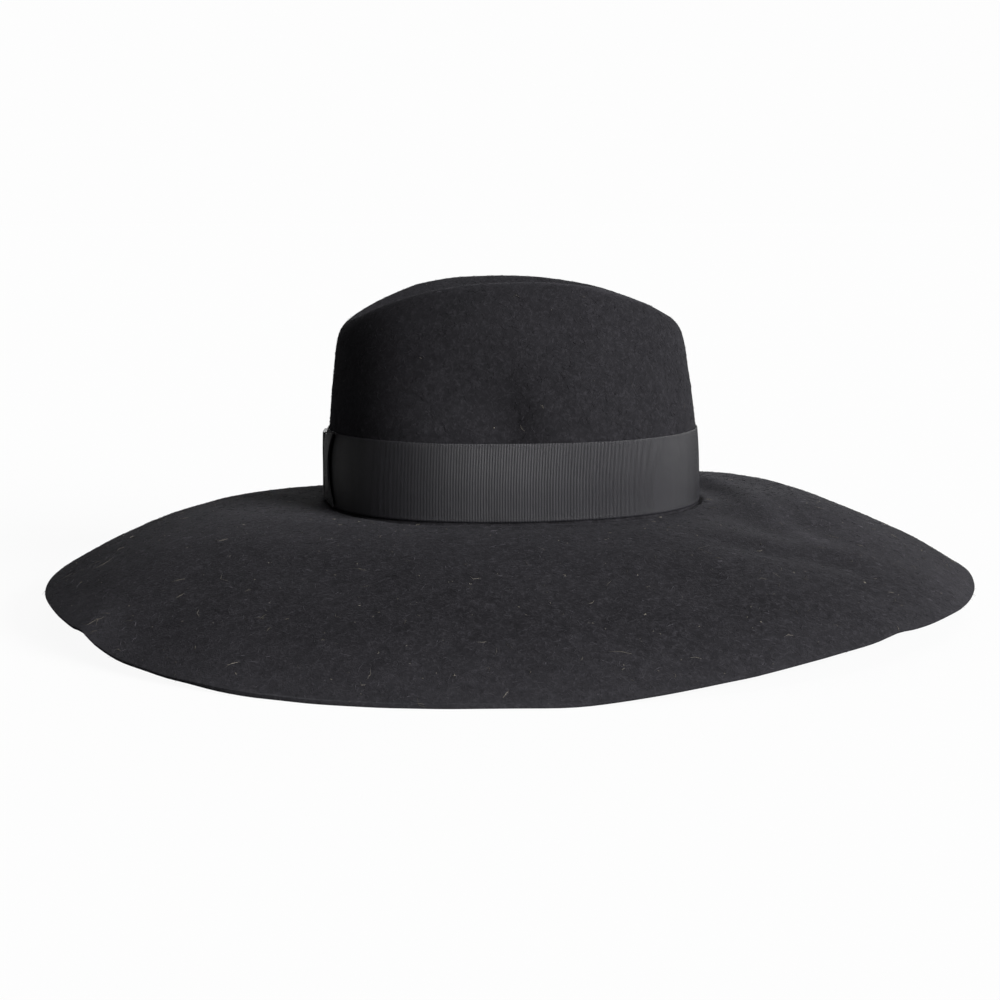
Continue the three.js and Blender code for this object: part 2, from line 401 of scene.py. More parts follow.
def activate(piece):
    """Selects one piece and nothing else."""
    bpy.ops.object.select_all(action="DESELECT")
    piece.select_set(True)
    bpy.context.view_layer.objects.active = piece


def corners(mesh):
    """Corners of a mesh as an array of points."""
    flat = np.empty(len(mesh.vertices) * 3)
    mesh.vertices.foreach_get("co", flat)
    return flat.reshape(-1, 3)


def move_corners(mesh, points):
    mesh.vertices.foreach_set("co", np.asarray(points, float).ravel())
    mesh.update()


def apply_modifiers(piece):
    activate(piece)
    for modifier in list(piece.modifiers):
        bpy.ops.object.modifier_apply(modifier=modifier.name)


def merged_copy(node, name):
    """A copy of a solid with its corners merged and its triangles paired to quads."""
    piece = bpy.data.objects.new(name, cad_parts[node].data.copy())
    bpy.context.scene.collection.objects.link(piece)
    piece.data.materials.clear()
    activate(piece)
    bpy.ops.mesh.customdata_custom_splitnormals_clear()
    bpy.ops.object.mode_set(mode="EDIT")
    bpy.ops.mesh.select_all(action="SELECT")
    bpy.ops.mesh.remove_doubles(threshold=WELD)
    bpy.ops.mesh.tris_convert_to_quads(face_threshold=math.pi, shape_threshold=math.pi)
    bpy.ops.object.mode_set(mode="OBJECT")
    return piece


FIT_ROUNDS = 4  # times that the cage is moved towards one whose surface meets the corners
FIT_STEP = 0.8  # part of the way that it moves each time


def smooth_through_corners(piece, levels):
    """Subdivides a piece to a smooth surface that passes through its corners."""
    modifier = piece.modifiers.new("smooth", "SUBSURF")
    modifier.levels = levels
    modifier.render_levels = levels
    wanted = corners(piece.data)
    cage = wanted.copy()
    for _ in range(FIT_ROUNDS):
        graph = bpy.context.evaluated_depsgraph_get()
        smooth = corners(piece.evaluated_get(graph).data)[: len(cage)]
        cage += FIT_STEP * (wanted - smooth)
        move_corners(piece.data, cage)
    apply_modifiers(piece)


def finish_piece(piece, material, slot, *nodes):
    """Gives a piece its material and its place in the frame, and hides the nodes that it stands for."""
    piece.data.materials.clear()
    piece.data.materials.append(material)
    activate(piece)
    bpy.ops.object.shade_smooth()
    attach(piece, "root")
    if nodes:
        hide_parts(*nodes)
    bpy.ops.object.select_all(action="DESELECT")
    return piece


# Ribbon surfaces, which follow the outward face of a solid

OUTWARD = 0.7  # least cosine between a face and the way out, for a face that looks outwards
LEAD = 0.004  # turns before the front where a ribbon's grid begins
GRID_ROWS = 5  # rows of corners on the outward face of each ribbon solid
LENGTH_SAMPLES = 2001
SLOPE_STEP = 0.002  # share of a surface over which its direction is measured


def outward_grid(node, axis):
    """Corners of a solid's face away from the hat's axis, as rows from bottom to top."""
    mesh = bmesh.new()
    mesh.from_mesh(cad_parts[node].data)
    bmesh.ops.remove_doubles(mesh, verts=mesh.verts, dist=WELD)
    found = set()
    for face in mesh.faces:
        away = np.array(face.calc_center_median().xy) - axis[:2]
        if np.dot(face.normal.xy, away) > OUTWARD * np.linalg.norm(away):
            found.update(tuple(corner.co) for corner in face.verts)
    mesh.free()
    points = np.array(sorted(found, key=lambda point: point[2]))
    grid = points.reshape(GRID_ROWS, -1, 3)
    return np.array([row[np.argsort(turns(row, axis))] for row in grid])


def turns(points, axis):
    """Directions of points seen from the axis, in turns from just before the front."""
    return (np.arctan2(points[:, 1] - axis[1], points[:, 0] - axis[0]) / math.tau + LEAD) % 1.0


def cubic(near, part):
    """Catmull-Rom curve between the second and the third of four points."""
    a, b, c, d = near
    bend = 2 * a - 5 * b + 4 * c - d + part * (3 * (b - c) + d - a)
    return b + 0.5 * part * (c - a + part * bend)


def with_ends(points):
    """Points with one more beyond each end, straight on."""
    return np.concatenate([[2 * points[0] - points[1]], points, [2 * points[-1] - points[-2]]])


class Cloth:
    """Smooth surface through a grid of corners. u runs round the hat and v up, both from 0 to 1."""

    def __init__(self, node, axis, closed=False):
        self.grid = outward_grid(node, axis)
        self.closed = closed
        u = np.linspace(0, 1, LENGTH_SAMPLES)
        steps = np.linalg.norm(np.diff(self.at(u, 0.5), axis=0), axis=1)
        self.walked = np.concatenate([[0], np.cumsum(steps)])
        self.length = self.walked[-1]

    def row_at(self, row, u):
        spans = len(row) if self.closed else len(row) - 1
        at = u * spans
        first = np.minimum(np.floor(at).astype(int), spans - 1)
        ends = row if self.closed else with_ends(row)
        near = [ends[(first + step - self.closed) % len(ends)] for step in range(4)]
        return cubic(near, (at - first)[:, None])

    def at(self, u, v):
        """Points of the surface."""
        u, v = np.broadcast_arrays(np.asarray(u, float), np.asarray(v, float))
        u = u % 1.0 if self.closed else np.clip(u, 0, 1)
        rows = with_ends(np.array([self.row_at(row, u) for row in self.grid]))
        at = np.clip(v, 0, 1) * (len(self.grid) - 1)
        first = np.minimum(np.floor(at).astype(int), len(self.grid) - 2)
        each = np.arange(len(u))
        return cubic([rows[first + step, each] for step in range(4)], (at - first)[:, None])

    def directions(self, u, v):
        """Unit directions round the hat, and away from its axis."""
        step = SLOPE_STEP
        v = np.clip(v, 0, 1)
        low, high = u - step, u + step
        if not self.closed:
            low, high = np.maximum(low, 0), np.minimum(high, 1)
        along = self.at(high, v) - self.at(low, v)
        along = along / np.linalg.norm(along, axis=1)[:, None]
        upwards = self.at(u, np.minimum(v + step, 1)) - self.at(u, np.maximum(v - step, 0))
        out = np.cross(along, upwards)
        return along, out / np.linalg.norm(out, axis=1)[:, None]

    def even(self, distance):
        """Values of u at distances along the middle of the surface."""
        return np.interp(distance, self.walked, np.linspace(0, 1, len(self.walked)))


class Path:
    """A flat path through points, with its way along, its way out and its outward directions."""

    def __init__(self, points, directions):
        self.points = np.array(points, float)
        self.directions = np.array(directions, float)
        steps = np.linalg.norm(np.diff(self.points, axis=0), axis=1)
        self.walked = np.concatenate([[0], np.cumsum(steps)])
        self.length = self.walked[-1]

    def at(self, share):
        """Way along, way out and the two parts of the outward direction, at shares of the length."""
        table = np.hstack([self.points, self.directions])
        return [np.interp(share * self.length, self.walked, column) for column in table.T]


def turn(centre, radius, start, end, steps=8):
    """Points and outward directions of an arc. 0 degrees points along, and 90 out."""
    angles = np.radians(np.linspace(start, end, steps + 1))
    directions = np.stack([np.cos(angles), np.sin(angles)], axis=1)
    return np.array(centre) + radius * directions, directions


def joined(*arcs):
    """One path through arcs, straight from one to the next."""
    return Path(np.concatenate([arc[0] for arc in arcs]), np.concatenate([arc[1] for arc in arcs]))


RIB_POWER = 0.6  # under 1, so that ribs are broad and grooves narrow
SELVEDGE = {"reach": 0.9, "drop": 0.4}  # of a ribbon's woven edge, as shares of its thickness


def ribs(phase, height):
    """Height of round ribs with narrow grooves, at phases counted in ribs."""
    return height * (np.abs(np.sin(math.pi * phase)) ** RIB_POWER - 1)


def selvedge(across, width, thickness):
    """How far a ribbon's face falls back at its two woven edges."""
    reach = np.minimum(across, 1 - across) * width / (SELVEDGE["reach"] * thickness)
    return -SELVEDGE["drop"] * thickness * (1 - np.clip(reach, 0, 1)) ** 2


# Places of the rows of corners across a ribbon, close together at its edges
ROWS_ACROSS = (0, 0.008, 0.022, 0.06, 0.18, 0.34, 0.5, 0.66, 0.82, 0.94, 0.978, 0.992, 1)
COLUMNS_PER_RIB = 4


def ribbon_piece(name, rib_count, place, thickness, closed=False):
    """A ribbon with its ribs. place gives its points from shares of the way along and across it."""
    bpy.ops.object.select_all(action="DESELECT")
    rows = len(ROWS_ACROSS) - 1
    columns = rib_count * COLUMNS_PER_RIB
    bpy.ops.mesh.primitive_grid_add(x_subdivisions=columns, y_subdivisions=rows, size=2)
    piece = bpy.context.object
    piece.name = name
    piece.data.name = name
    piece.data.uv_layers[0].name = "ribbon"
    flat = (corners(piece.data) + 1) / 2
    across = np.interp(flat[:, 1], np.linspace(0, 1, rows + 1), ROWS_ACROSS)
    move_corners(piece.data, place(flat[:, 0], across))
    bpy.ops.object.mode_set(mode="EDIT")
    bpy.ops.mesh.select_all(action="SELECT")
    if closed:
        bpy.ops.mesh.remove_doubles(threshold=WELD)
    bpy.ops.object.mode_set(mode="OBJECT")
    solid = piece.modifiers.new("thickness", "SOLIDIFY")
    solid.thickness = thickness
    solid.offset = -1
    apply_modifiers(piece)
    return piece


# Pieces

# Soft forms of the brim, as lines seen from above, with their reach and height. All are in millimetres
BRIM_RELIEF = (
    {"line": ((116, 45), (129, 7), (131, -21), (138, -53), (151, -81)), "reach": 14, "height": 1.8},
    {"line": ((100, -104), (125, -110), (158, -110)), "reach": 16, "height": -2.4},
    {"line": ((16, -150), (74, -148)), "reach": 24, "height": -1.3},
    {"line": ((-165, -112), (-85, -140)), "reach": 32, "height": -1.6},
    {"line": ((-238, -132), (-212, -118)), "reach": 12, "height": 1.7},
    {"line": ((-222, -165), (-196, -144)), "reach": 26, "height": -1.5},
    {"line": ((-170, -200), (-150, -182)), "reach": 28, "height": 1.2},
    {"line": ((186, -182), (160, -158)), "reach": 16, "height": 1.5},
)
# Where highlights are painted on the felt, partly as worn pale nap, as lines in the same way, with the
# strength of each
HIGHLIGHTS_AND_WEAR = (
    {"line": BRIM_RELIEF[0]["line"], "reach": 14, "strength": 0.8},
    # Painted light on the shaded felt beside the ribbon's right end
    {"line": ((98, 78), (115, 42), (122, 10), (120, -12)), "reach": 24, "strength": 0.5},
    {
        "line": ((112, 60), (126, 20), (144, -16), (168, -42), (200, -60), (228, -82)),
        "reach": 60, "strength": 0.42,
    },
    {"line": ((-246, -30), (-238, -92), (-212, -138)), "reach": 34, "strength": 0.4},
    # Painted highlight along the crown's near ridge
    {
        "line": (
            (-81, -23), (-63, -35), (-35, -47), (-18, -49.6), (17, -48.6), (43, -45), (58, -38), (75, -26),
        ),
        "reach": 5, "strength": 0.9,
    },
)
PAINTED_SHEEN_EDGE = (0.7, 1.02)  # painted sheen: where the brim begins to lighten and where it is lightest, as shares of its width
BRIM_START = 8 * MM  # from the ribbon to where the brim's soft forms have their full height
COLLAR = {"at": 2 * MM, "reach": 6 * MM, "height": 1.6 * MM}  # roll of the brim against the ribbon
# Dent in the crown's right side, which sits further back than on the plain form: directions in degrees
DENT = {
    "plain": -90, "worn": -97, "front": 14, "back": 28, "lean": 0.12 / MM,
    "height": 109.4 * MM, "tall": 27 * MM, "plain_depth": 5 * MM, "depth": 6.4 * MM,
}


def bell(distance, reach):
    """1 at no distance and about 0.14 at the reach."""
    return np.exp(-2 * (distance / reach) ** 2)


def off_line(points, line):
    """Distances of points from a bent line seen from above, both in millimetres."""
    nearest = np.full(len(points), np.inf)
    stops = np.array(line, float)
    for start, way in zip(stops, np.diff(stops, axis=0)):
        share = np.clip((points[:, :2] - start) @ way / (way @ way), 0, 1)
        off = np.linalg.norm(points[:, :2] - start - share[:, None] * way, axis=1)
        nearest = np.minimum(nearest, off)
    return nearest


def highlight_and_wear_at(points):
    """How much painted highlight, partly worn pale nap, lies at points of the felt."""
    shares = [
        area["strength"] * bell(off_line(points / MM, area["line"]), area["reach"])
        for area in HIGHLIGHTS_AND_WEAR
    ]
    return np.max(shares, axis=0)


def round_band(points):
    """Directions of points round the ribbon's oval in degrees, and how far outside it they lie."""
    low, high = (np.array(corner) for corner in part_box("hat_band"))
    middle, half = (low + high) / 2, (high - low) / 2
    x, y, _ = ((points - middle) / half).T
    return np.degrees(np.arctan2(y, x)), (np.hypot(x, y) - 1) * half[:2].mean()


def dented(angles, centre):
    """Share of the dent's depth in directions round the hat."""
    off = (angles - centre + 180) % 360 - 180
    return bell(off, np.where(off > 0, DENT["front"], DENT["back"]))


def press_felt(points):
    """Moves the felt's corners to its soft forms."""
    angles, off = round_band(points)
    on_brim = np.clip(off / BRIM_START, 0, 1)
    for form in BRIM_RELIEF:
        share = bell(off_line(points / MM, form["line"]), form["reach"])
        points[:, 2] += on_brim * form["height"] * MM * share
    low = bell(points[:, 2] - FOOT_HEIGHT, 2 * COLLAR["reach"])
    points[:, 2] += COLLAR["height"] * low * bell(off - COLLAR["at"], COLLAR["reach"])
    above = points[:, 2] - DENT["height"]
    lean = DENT["lean"] * above
    plain = DENT["plain_depth"] * dented(angles, DENT["plain"] - lean)
    worn = DENT["depth"] * dented(angles, DENT["worn"] - lean)
    points[:, 1] += (worn - plain) * np.exp(-((above / DENT["tall"]) ** 2)) * (points[:, 1] < 0)
    return points


SHARP = math.radians(50)  # angle between two faces from which their edge is rounded
CROWN_REACH = 0.2  # distance from the hat's middle, seen from above, within which no edge is rounded


def build_felt(felt):
    """The crown and the brim, smooth and softly uneven, with a rounded cut edge."""
    piece = merged_copy("felt_body", "blocked_felt")
    mesh = bmesh.new()
    mesh.from_mesh(piece.data)
    sharp = [edge for edge in mesh.edges if edge.calc_face_angle(0) > SHARP]
    sharp = [edge for edge in sharp if edge.verts[0].co.xy.length > CROWN_REACH]
    bmesh.ops.bevel(
        mesh, geom=sharp, offset=felt.edge_rounding, segments=2, profile=0.5, affect="EDGES",
    )
    mesh.to_mesh(piece.data)
    mesh.free()
    smooth_through_corners(piece, levels=2)
    texture = bpy.data.textures.new("soft_hollows", "CLOUDS")
    texture.noise_scale = felt.unevenness_size
    texture.noise_depth = 1
    hollows = piece.modifiers.new("hollows", "DISPLACE")
    hollows.texture = texture
    hollows.texture_coords = "LOCAL"
    hollows.direction = "Z"
    hollows.strength = 2 * felt.unevenness
    hollows.mid_level = 0.5
    apply_modifiers(piece)
    points = press_felt(corners(piece.data))
    points[:, 2] = np.maximum(points[:, 2], 0)
    move_corners(piece.data, points)
    _, out = round_band(points)
    # pale carries a painted sheen that lightens the brim towards its edge
    start, end = PAINTED_SHEEN_EDGE
    pale = np.clip((out / out.max() - start) / (end - start), 0, 1)
    # worn carries painted highlights, partly worn nap
    for name, values in (("worn", highlight_and_wear_at(points)), ("pale", pale)):
        piece.data.attributes.new(name, "FLOAT", "POINT").data.foreach_set("value", values)
    return finish_piece(piece, felt_material(felt), "felt", "felt_body")


def hat_axis():
    """A point on the upright axis of the band."""
    low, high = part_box("hat_band")
    return np.array((low + high) / 2)


def height_of(node):
    low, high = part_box(node)
    return high.z - low.z


FOOT_DROP = 0.7 * MM  # how far the ribbon's lower edge sinks into the nap


def build_band(ribbon):
    """The grosgrain ribbon round the foot of the crown."""
    cloth = Cloth("hat_band", hat_axis(), closed=True)
    count = round(cloth.length / ribbon.rib_pitch)
    width = height_of("hat_band")

    def place(along, across):
        u = cloth.even(along * cloth.length)
        out = ribs(along * count, ribbon.rib_height) + selvedge(across, width, ribbon.thickness)
        points = cloth.at(u, across) + cloth.directions(u, across)[1] * out[:, None]
        return points - UP * (FOOT_DROP * (1 - across) ** 3)[:, None]

    piece = ribbon_piece("grosgrain_band", count, place, ribbon.thickness, closed=True)
    material = ribbon_material("grosgrain", ribbon, count, width)
    return finish_piece(piece, material, "band_ribbon", "hat_band")


LOOP_RADIUS = 0.75 * MM  # of the folds at the two ends of the loops
PLEAT = 0.5 * MM  # height of the pleats that the keeper gathers
PLEATS = 2.5
PLEAT_REACH = 0.14  # share of the loops' length over which the pleats fade
PRESS = 0.5 * MM  # how far the keeper presses the loops together
PRESS_REACH = 0.1  # share of their length over which it does
END_LIFT = 0.5 * MM  # how far the ends of the loops stand off the band


def build_loops(ribbon):
    """The folded ribbon of the bow: two layers that turn into each other at both ends."""
    cloth = Cloth("bow_loops", hat_axis())
    r = LOOP_RADIUS
    path = joined(
        ([(cloth.length / 2, 0)], [(0, 1)]),
        turn((cloth.length - r, -r), r, 90, -90),
        turn((r, -r), r, 270, 90),
        ([(cloth.length / 2, 0)], [(0, 1)]),
    )
    count = round(path.length / ribbon.rib_pitch)
    width = height_of("bow_loops")

    def place(share, across):
        along, out, facing_along, facing_out = path.at(share)
        u = cloth.even(along)
        middle = np.abs(u - 0.5)
        out = out + END_LIFT * (2 * middle) ** 4
        gather = PLEAT * np.cos(across * math.tau * PLEATS) * np.exp(-middle / PLEAT_REACH)
        out = out + (1 + out / r) * (gather - PRESS * np.exp(-((middle / PRESS_REACH) ** 2)))
        proud = ribs(share * count, ribbon.rib_height) + selvedge(across, width, ribbon.thickness)
        tangent, normal = cloth.directions(u, across)
        return (
            cloth.at(u, across) + normal * out[:, None]
            + (tangent * facing_along[:, None] + normal * facing_out[:, None]) * proud[:, None]
        )

    piece = ribbon_piece("ribbon_loops", count, place, ribbon.thickness, closed=True)
    material = ribbon_material("grosgrain_bow", ribbon, count, width)
    return finish_piece(piece, material, "bow_ribbon", "bow_loops")


KEEPER_THICKNESS = 0.5 * MM
KEEPER_CROWN = 0.15 * MM  # how far its middle stands out over its sides
KEEPER_LAP = 1.7 * MM  # how far its ends reach back beside the loops


def build_keeper(ribbon):
    """The folded strip round the middle of the loops. Its ribs lie across it."""
    cloth = Cloth("bow_loops", hat_axis())
    low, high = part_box("bow_keeper")
    width = high.y - low.y
    height = float(np.ptp(cloth.at(np.array([0.5]), np.array([0.0, 1.0]))[:, 2]))
    r = KEEPER_THICKNESS
    path = joined(
        ([(height + r, -KEEPER_LAP)], [(1, 0)]),
        turn((height, 0), r, 0, 90),
        turn((0, 0), r, 90, 180),
        ([(-r, -KEEPER_LAP)], [(-1, 0)]),
    )
    count = round(path.length / ribbon.rib_pitch)

    def place(share, across):
        up, out, facing_up, facing_out = path.at(share)
        u = cloth.even(cloth.length / 2 + (across - 0.5) * width)
        v = up / height
        crowned = KEEPER_CROWN * (1 - (2 * across - 1) ** 2) * facing_out
        proud = ribs(share * count, ribbon.rib_height) + selvedge(across, width, ribbon.thickness)
        normal = cloth.directions(u, v)[1]
        beyond = up - np.clip(up, 0, height)
        points = cloth.at(u, v) + UP * beyond[:, None] + normal * (out + crowned)[:, None]
        return points + (UP * facing_up[:, None] + normal * facing_out[:, None]) * proud[:, None]

    piece = ribbon_piece("ribbon_keeper", count, place, KEEPER_THICKNESS)
    material = ribbon_material("grosgrain_keeper", ribbon, count, width)
    return finish_piece(piece, material, "bow_ribbon", "bow_keeper")


def scattered(mesh, count, seed, wanted):
    """Random points on the triangles of a mesh that wanted lets in, with their normals."""
    mesh.calc_loop_triangles()
    triangles = np.empty(len(mesh.loop_triangles) * 3, int)
    mesh.loop_triangles.foreach_get("vertices", triangles)
    a, b, c = (corners(mesh)[triangles.reshape(-1, 3)[:, k]] for k in range(3))
    normals = np.cross(b - a, c - a)
    area = np.linalg.norm(normals, axis=1)
    normals = normals / np.maximum(area, 1e-15)[:, None]
    weight = area * wanted((a + b + c) / 3, normals)
    random = np.random.default_rng(seed)
    chosen = random.choice(len(weight), size=count, p=weight / weight.sum())
    s, t = random.random((2, count, 1))
    over = s + t > 1
    s, t = np.where(over, 1 - s, s), np.where(over, 1 - t, t)
    return a[chosen] + s * (b - a)[chosen] + t * (c - a)[chosen], normals[chosen], random


RINGS = 3  # of corners along a fibre
SIDES = 3
LENGTH_SPREAD = 0.45  # of fibres, on a logarithmic scale
THICKNESS_RANGE = (0.7, 1.3)
TIP = 0.35  # thickness of a fibre's tip beside that of its middle
STAND = 0.6  # height of a fibre's middle line over the felt, in its own radii
TONE_MIDDLE = -0.15  # of fibres, on a logarithmic scale
TONE_SPREAD = 0.55


def fibre_mesh(name, roots, normals, random, length, thickness, lift, curl, light=1):
    """Thin curved fibres on a surface, as one mesh with a tone for each fibre."""
    count = len(roots)
    across = np.cross(normals, random.normal(size=(count, 3)))
    across = across / np.linalg.norm(across, axis=1)[:, None]
    ahead = np.cross(across, normals)
    lengths = length * random.lognormal(0, LENGTH_SPREAD, count)
    bends = curl * random.normal(size=count)
    lifts = lift * random.random(count) ** 2
    radii = thickness / 2 * random.uniform(*THICKNESS_RANGE, count)
    places = []
    for ring in range(RINGS):
        way = ring / (RINGS - 1) - 0.5
        bow = 1 - 4 * way * way
        middle = roots + ahead * (way * lengths)[:, None]
        middle = middle + across * (bends * lengths * way * way)[:, None]
        middle = middle + normals * (radii * STAND + lifts * (bow + way))[:, None]
        for side in range(SIDES):
            turned = math.tau * side / SIDES
            offset = across * math.cos(turned) + normals * math.sin(turned)
            places.append(middle + offset * (radii * (TIP + (1 - TIP) * bow))[:, None])
    points = np.stack(places, axis=1).reshape(-1, 3)
    points[:, 2] = np.maximum(points[:, 2], 0.0)
    faces = []
    for ring in range(RINGS - 1):
        for side in range(SIDES):
            near = ring * SIDES + side
            beside = ring * SIDES + (side + 1) % SIDES
            faces.append((near, beside, beside + SIDES, near + SIDES))
    last = (RINGS - 1) * SIDES
    ends = [tuple(reversed(range(SIDES))), tuple(range(last, last + SIDES))]
    per_fibre = RINGS * SIDES
    starts = np.arange(count) * per_fibre
    quads = (starts[:, None, None] + np.array(faces)).reshape(-1, 4)
    caps = (starts[:, None, None] + np.array(ends)).reshape(-1, 3)
    mesh = bpy.data.meshes.new(name)
    mesh.from_pydata(points.tolist(), [], quads.tolist() + caps.tolist())
    tones = light * random.lognormal(TONE_MIDDLE, TONE_SPREAD, count)
    tone = mesh.attributes.new("tone", "FLOAT", "POINT")
    tone.data.foreach_set("value", np.repeat(tones, per_fibre))
    piece = bpy.data.objects.new(name, mesh)
    bpy.context.scene.collection.objects.link(piece)
    return piece


# Where fibres lie on the felt
CROWN_OVAL = (0.110, 0.092)  # half length and half width of an oval just outside the ribbon
STEEP = 0.6  # upward part of a normal under which the felt is a wall
OVERLAP = 2 * MM  # how far the fibres reach down behind the ribbon's upper edge
RESTING = 6 * MM  # height under which the lower side carries none
LOWER_SHARE = 0.12  # density of fibres on the lower side, beside the upper side's


def fibre_share(centres, normals):
    """1 on the upper side of the felt and a little on its lower side, 0 under the ribbon."""
    band_low, band_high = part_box("hat_band")
    wall = np.abs(normals[:, 2]) < STEEP
    covered = wall & (centres[:, 2] > band_low.z) & (centres[:, 2] < band_high.z - OVERLAP)
    near = np.hypot(centres[:, 0] / CROWN_OVAL[0], centres[:, 1] / CROWN_OVAL[1]) < 1
    away = np.einsum("ij,ij->i", normals[:, :2], centres[:, :2])
    out = np.where(near & wall, away > 0, normals[:, 2] > 0)
    hidden = (covered & near) | (~out & (centres[:, 2] < RESTING))
    return np.where(hidden, 0.0, np.where(out, 1.0, LOWER_SHARE))


# Seed, share of the settings' number and lightness of each part's fibres
NAP = {
    "crown": {"seed": 11, "share": 0.5, "light": 0.45},
    "brim": {"seed": 12, "share": 1.0, "light": 1.0},
}
NAP_LIFT = 0.25 * MM
NAP_CURL = 0.5
HIGHLIGHT_AND_WEAR_LIGHT = 1.2  # how much lighter fibres are painted where the highlights and the worn nap are


def build_nap(nap, part):
    """The loose fibres of the crown or of the brim."""
    def wanted(centres, normals):
        on_crown = centres[:, 2] > FOOT_HEIGHT
        return fibre_share(centres, normals) * (on_crown if part == "crown" else ~on_crown)

    felt = bpy.data.objects["blocked_felt"].data
    own = NAP[part]
    roots, normals, random = scattered(felt, round(own["share"] * nap.fibres), own["seed"], wanted)
    piece = fibre_mesh(
        f"nap_{part}", roots, normals, random,
        length=nap.length, thickness=nap.thickness, lift=NAP_LIFT, curl=NAP_CURL,
        # Fibres painted lighter along the painted highlights and the worn nap
        light=1 + HIGHLIGHT_AND_WEAR_LIGHT * highlight_and_wear_at(roots),
    )
    colour = [own["light"] * value for value in bpy.context.scene.hat_felt.fibre_colour]
    return finish_piece(piece, fibre_material(f"nap_{part}", colour), "felt")


LINT = {
    "hairs": {"seed": 41, "share": 0.3, "length": 4.2 * MM, "thickness": 0.17 * MM},
    "specks": {"seed": 42, "share": 0.7, "length": 0.8 * MM, "thickness": 0.28 * MM},
}
LINT_LIFT = 0.15 * MM
LINT_CURL = 0.9
LINT_ON_CROWN = 0.15  # density of lint on the crown, beside the brim's


def build_lint(nap):
    """Pale hairs and specks that lie on the felt, most of them on the brim."""
    def wanted(centres, normals):
        on_crown = centres[:, 2] > FOOT_HEIGHT
        return fibre_share(centres, normals) * np.where(on_crown, LINT_ON_CROWN, 1.0)

    felt = bpy.data.objects["blocked_felt"].data
    for name, own in LINT.items():
        count = round(nap.lint * own["share"])
        roots, normals, random = scattered(felt, count, own["seed"], wanted)
        made = fibre_mesh(
            f"lint_{name}", roots, normals, random,
            length=own["length"], thickness=own["thickness"], lift=LINT_LIFT, curl=LINT_CURL,
        )
        finish_piece(made, fibre_material(f"lint_{name}", nap.lint_colour), "felt")


# Stage

YAW = 5.0  # degrees that the camera stands round towards the back of the hat
PITCH = 8.73  # degrees that it looks down
LENS = 69.3  # focal length in millimetres
SENSOR = 36.0  # width in millimetres
SHIFT = -0.012  # sideways, as a share of the frame's width

# Direction of each light round the hat from its front, its height and its softness, in degrees.
# The key light does most of it, and the weak ones keep the sides and the back from turning black
LIGHTS = {
    "key": {"turn": -42, "rise": 17, "softness": 30},
    "fill": {"turn": -60, "rise": 70, "softness": 40},
    "left": {"turn": -150, "rise": 6, "softness": 60},
    "back": {"turn": 72, "rise": 18, "softness": 60},
}
BACKDROP = 0.983  # brightness of what the camera sees behind the hat

FLOOR_SIZE = 40.0
FLOOR_LIGHT = 0.968  # that the floor gives off, as the camera sees it
FLOOR_SHARE = 0.33  # share of it that falls on the hat
FAR = 100.0  # distance up to which the camera sees
WHITE = (1.0, 1.0, 1.0, 1.0)


def floor_material(stage):
    """A pale floor that glows a little by itself, so that the shadow on it is faint."""
    shader = shader_of("floor")
    matt = shader.node("ShaderNodeBsdfDiffuse", {}, {"Color": (0.80, 0.80, 0.80, 1.0)})
    seen = shader.node("ShaderNodeLightPath", output="Is Camera Ray")
    strength = FLOOR_LIGHT * (FLOOR_SHARE + (1 - FLOOR_SHARE) * seen)
    glow = shader.node("ShaderNodeEmission", {}, {"Strength": strength})
    mixed = shader.node("ShaderNodeMixShader", {}, {"Fac": stage.floor_glow, 1: matt, 2: glow})
    return shader.end(mixed)


def studio_world(stage):
    """A dim studio that lights the hat, and a white one behind it for the camera."""
    shader = Shader(bpy.data.worlds.new("studio"))
    seen = shader.node("ShaderNodeLightPath", output="Is Camera Ray")
    dim = shader.node("ShaderNodeBackground", {}, {"Color": WHITE, "Strength": stage.surround})
    backdrop = shader.node("ShaderNodeBackground", {}, {"Color": WHITE, "Strength": BACKDROP})
    mixed = shader.node("ShaderNodeMixShader", {}, {"Fac": seen, 1: dim, 2: backdrop})
    return shader.end(mixed, "ShaderNodeOutputWorld")


def build_stage(stage):
    """A pale floor, a soft key light from the right, three weak lights, a dim surround and the camera."""
    bpy.ops.object.select_all(action="DESELECT")
    bpy.ops.mesh.primitive_plane_add(size=FLOOR_SIZE)
    floor = bpy.context.object
    floor.name = "floor"
    floor.data.materials.append(floor_material(stage))

    for name, light in LIGHTS.items():
        turned = (math.radians(90 - light["rise"]), 0, math.radians(90 + light["turn"]))
        bpy.ops.object.light_add(type="SUN", rotation=turned)
        lamp = bpy.context.object
        lamp.name = f"{name}_light"
        lamp.data.energy = getattr(stage, f"{name}_strength")
        lamp.data.angle = math.radians(light["softness"])

    bpy.context.scene.world = studio_world(stage)
    bpy.context.scene.view_settings.view_transform = "Standard"

    yaw = math.radians(YAW)
    distance = stage.camera_distance
    place = (-math.sin(yaw) * distance, -math.cos(yaw) * distance, stage.camera_height)
    bpy.ops.object.camera_add(location=place, rotation=(math.radians(90 - PITCH), 0, -yaw))
    camera = bpy.context.object
    camera.name = "camera"
    camera.data.lens = LENS
    camera.data.sensor_width = SENSOR
    camera.data.shift_x = SHIFT
    camera.data.clip_end = FAR
    bpy.context.scene.camera = camera
    bpy.ops.object.select_all(action="DESELECT")


# Operators and panel


class HAT_OT_felt(bpy.types.Operator):
    """Build the felt of the crown and the brim"""

    bl_idname = "hat.felt"
    bl_label = "Felt"

    def execute(self, context):
        build_felt(context.scene.hat_felt)
        return {"FINISHED"}


class HAT_OT_band(bpy.types.Operator):
    """Build the grosgrain band"""

    bl_idname = "hat.band"
    bl_label = "Band"

    def execute(self, context):
        build_band(context.scene.hat_ribbon)
        return {"FINISHED"}


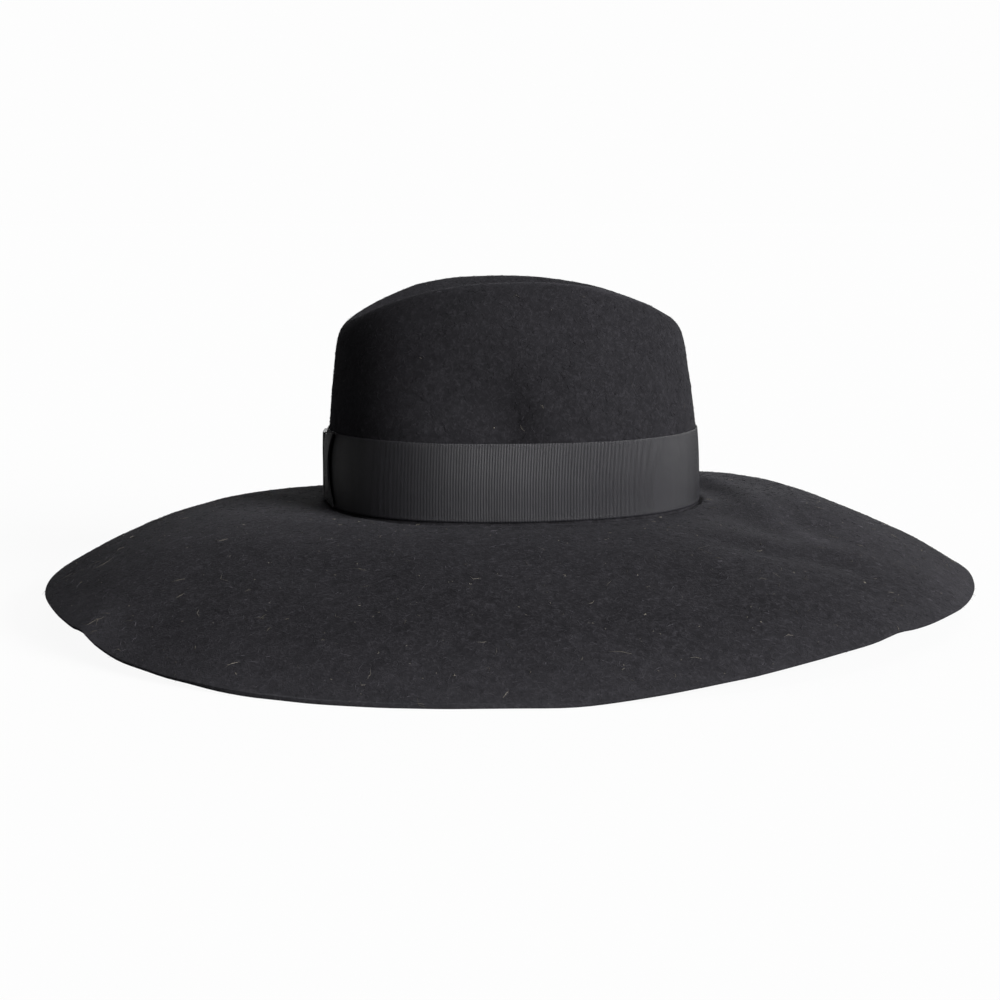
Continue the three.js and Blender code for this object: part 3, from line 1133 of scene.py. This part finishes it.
class HAT_OT_loops(bpy.types.Operator):
    """Build the folded loops of the bow"""

    bl_idname = "hat.loops"
    bl_label = "Bow loops"

    def execute(self, context):
        build_loops(context.scene.hat_ribbon)
        return {"FINISHED"}


class HAT_OT_keeper(bpy.types.Operator):
    """Build the strip round the middle of the bow"""

    bl_idname = "hat.keeper"
    bl_label = "Bow keeper"

    def execute(self, context):
        build_keeper(context.scene.hat_ribbon)
        return {"FINISHED"}


class HAT_OT_nap(bpy.types.Operator):
    """Build the loose fibres of the crown and the brim. The felt comes first"""

    bl_idname = "hat.nap"
    bl_label = "Nap"

    def execute(self, context):
        build_nap(context.scene.hat_nap, "crown")
        build_nap(context.scene.hat_nap, "brim")
        return {"FINISHED"}


class HAT_OT_lint(bpy.types.Operator):
    """Build the pale hairs and specks on the felt. The felt comes first"""

    bl_idname = "hat.lint"
    bl_label = "Lint"

    def execute(self, context):
        build_lint(context.scene.hat_nap)
        return {"FINISHED"}


class HAT_OT_stage(bpy.types.Operator):
    """Build the floor, the light and the camera"""

    bl_idname = "hat.stage"
    bl_label = "Stage"

    def execute(self, context):
        build_stage(context.scene.hat_stage)
        return {"FINISHED"}


OPERATORS = (
    HAT_OT_stage, HAT_OT_felt, HAT_OT_band, HAT_OT_loops, HAT_OT_keeper, HAT_OT_nap, HAT_OT_lint,
)


class HAT_PT_panel(bpy.types.Panel):
    """Buttons and settings of the hat"""

    bl_idname = "HAT_PT_panel"
    bl_label = "Felt hat"
    bl_space_type = "VIEW_3D"
    bl_region_type = "UI"
    bl_category = "Felt hat"

    def draw(self, context):
        for name, group in SETTINGS.items():
            box = self.layout.box()
            box.label(text=group.__doc__)
            for field in group.__annotations__:
                box.prop(getattr(context.scene, name), field)
        for operator in OPERATORS:
            self.layout.operator(operator.bl_idname)


def register():
    for group in SETTINGS.values():
        bpy.utils.register_class(group)
    for operator in OPERATORS:
        bpy.utils.register_class(operator)
    bpy.utils.register_class(HAT_PT_panel)
    for name, group in SETTINGS.items():
        setattr(bpy.types.Scene, name, PointerProperty(type=group))


def unregister():
    for name in SETTINGS:
        delattr(bpy.types.Scene, name)
    bpy.utils.unregister_class(HAT_PT_panel)
    for operator in reversed(OPERATORS):
        bpy.utils.unregister_class(operator)
    for group in reversed(SETTINGS.values()):
        bpy.utils.unregister_class(group)


def main():
    """Builds everything."""
    register()
    bpy.ops.hat.stage()
    bpy.ops.hat.felt()
    bpy.ops.hat.band()
    bpy.ops.hat.loops()
    bpy.ops.hat.keeper()
    bpy.ops.hat.nap()
    bpy.ops.hat.lint()


if __name__ == "__main__":
    main()
